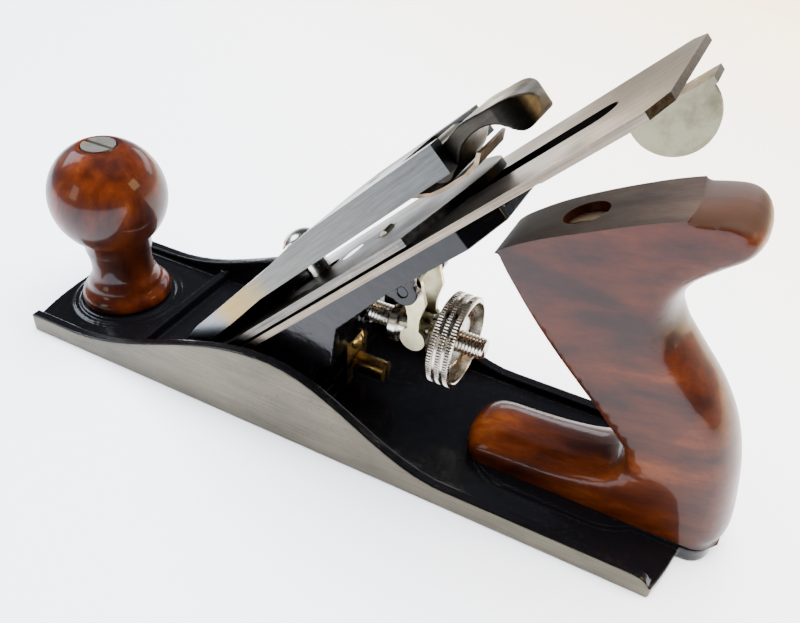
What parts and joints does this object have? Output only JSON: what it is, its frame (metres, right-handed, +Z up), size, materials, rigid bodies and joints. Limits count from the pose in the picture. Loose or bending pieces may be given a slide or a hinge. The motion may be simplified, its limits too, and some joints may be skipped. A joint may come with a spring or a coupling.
{
  "type": "hand plane",
  "caption": "Metal bench plane with japanned casting, steel iron and lever cap, screw depth adjuster, lateral lever, and a stained wooden knob and tote.",
  "frame": {"origin": "middle of the sole, on its underside", "axes": "+X from toe to heel along the sole, +Y to the far cheek, +Z up out of the sole"},
  "size_m": [0.2491, 0.061, 0.1341],
  "materials": {
    "cast_iron": "gloss black japanning inside, ground grey-brown faces",
    "cam_iron": "dark casting with a polished pad",
    "tool_steel": "ground steel, warm grey",
    "ground_cap": "ground along its length",
    "nickel": "worn nickel plate",
    "plated_screw": "yellow plate",
    "plated_sheet": "pale yellow plate",
    "stained_beech": "dark red-brown stain under lacquer"
  },
  "bodies": {
    "base": {"body_casting": "cast_iron", "front_knob": "stained_beech", "knob_rod": "nickel", "knob_nut": "nickel", "rear_tote": "stained_beech", "tote_rod": "nickel", "tote_nut": "nickel", "frog_screws": "plated_screw", "frog_screw_washers": "plated_screw"},
    "frog": {"frog": "cast_iron", "frog_clip": "plated_screw", "frog_clip_screw": "plated_screw", "depth_stud": "nickel", "yoke_pin": "nickel", "lateral_rivet": "nickel"},
    "frog_adjuster": {"frog_adjusting_screw": "plated_screw"},
    "hub": {"depth_hub": "nickel"},
    "wheel": {"depth_wheel": "nickel"},
    "yoke": {"yoke": "plated_sheet"},
    "lateral": {"lateral_lever": "nickel", "lateral_roller": "nickel"},
    "cap_screw": {"lever_cap_screw": "nickel"},
    "iron": {"plane_iron": "tool_steel", "cap_iron": "tool_steel", "cap_iron_screw": "nickel"},
    "lever_cap": {"lever_cap": "ground_cap", "lever_cap_spring": "tool_steel", "spring_rivet": "nickel", "cam_pin": "nickel"},
    "cam": {"cam_lever": "cam_iron"}
  },
  "joints": [
    {"name": "frog_slide", "type": "slide", "parent": "base", "child": "frog", "axis": [1, 0, 0], "range_m": [-0.001, 0.001]},
    {"name": "frog_screw_turn", "type": "hinge", "parent": "frog", "child": "frog_adjuster", "pos_m": [0, 0, 0.015], "axis": [1, 0, 0], "range_deg": [-345, 345]},
    {"name": "wheel_travel", "type": "slide", "parent": "frog", "child": "hub", "axis": [1, 0, 0], "range_m": [-0.0021, 0.00115]},
    {"name": "wheel_spin", "type": "hinge", "parent": "hub", "child": "wheel", "pos_m": [0.034, 0, 0.0388], "axis": [1, 0, 0], "range_deg": [-400, 720]},
    {"name": "yoke_swing", "type": "hinge", "parent": "frog", "child": "yoke", "pos_m": [0.02044, 0, 0.05841], "axis": [0, 1, 0], "range_deg": [-3.6, 6.4]},
    {"name": "lateral_swing", "type": "hinge", "parent": "frog", "child": "lateral", "pos_m": [0.03572, 0, 0.08697], "axis": [-0.7071, 0, 0.7071], "range_deg": [-4.5, 4.5]},
    {"name": "iron_tilt", "type": "hinge", "parent": "frog", "child": "cap_screw", "pos_m": [-0.01095, 0, 0.04455], "axis": [-0.7071, 0, 0.7071], "range_deg": [-1.1, 1.1]},
    {"name": "iron_slide", "type": "slide", "parent": "cap_screw", "child": "iron", "axis": [0.7071, 0, 0.7071], "range_m": [-0.00092, 0.00162]},
    {"name": "lever_cap_slide", "type": "slide", "parent": "frog", "child": "lever_cap", "axis": [0.7071, 0, 0.7071], "range_m": [0, 0.009]},
    {"name": "cam_open", "type": "hinge", "parent": "lever_cap", "child": "cam", "pos_m": [0.02652, 0, 0.09899], "axis": [0, -1, 0], "range_deg": [0, 100]}
  ],
  "couplings": [
    {"joint": "frog_screw_turn", "follows": "frog_slide", "rad_per_m": 5938.7},
    {"joint": "wheel_spin", "follows": "wheel_travel", "rad_per_m": -5938.7},
    {"joint": "yoke_swing", "follows": "wheel_travel", "rad_per_m": -51.02},
    {"joint": "iron_slide", "follows": "wheel_travel", "ratio": -0.7449},
    {"joint": "iron_tilt", "follows": "lateral_swing", "ratio": -0.23529}
  ]
}
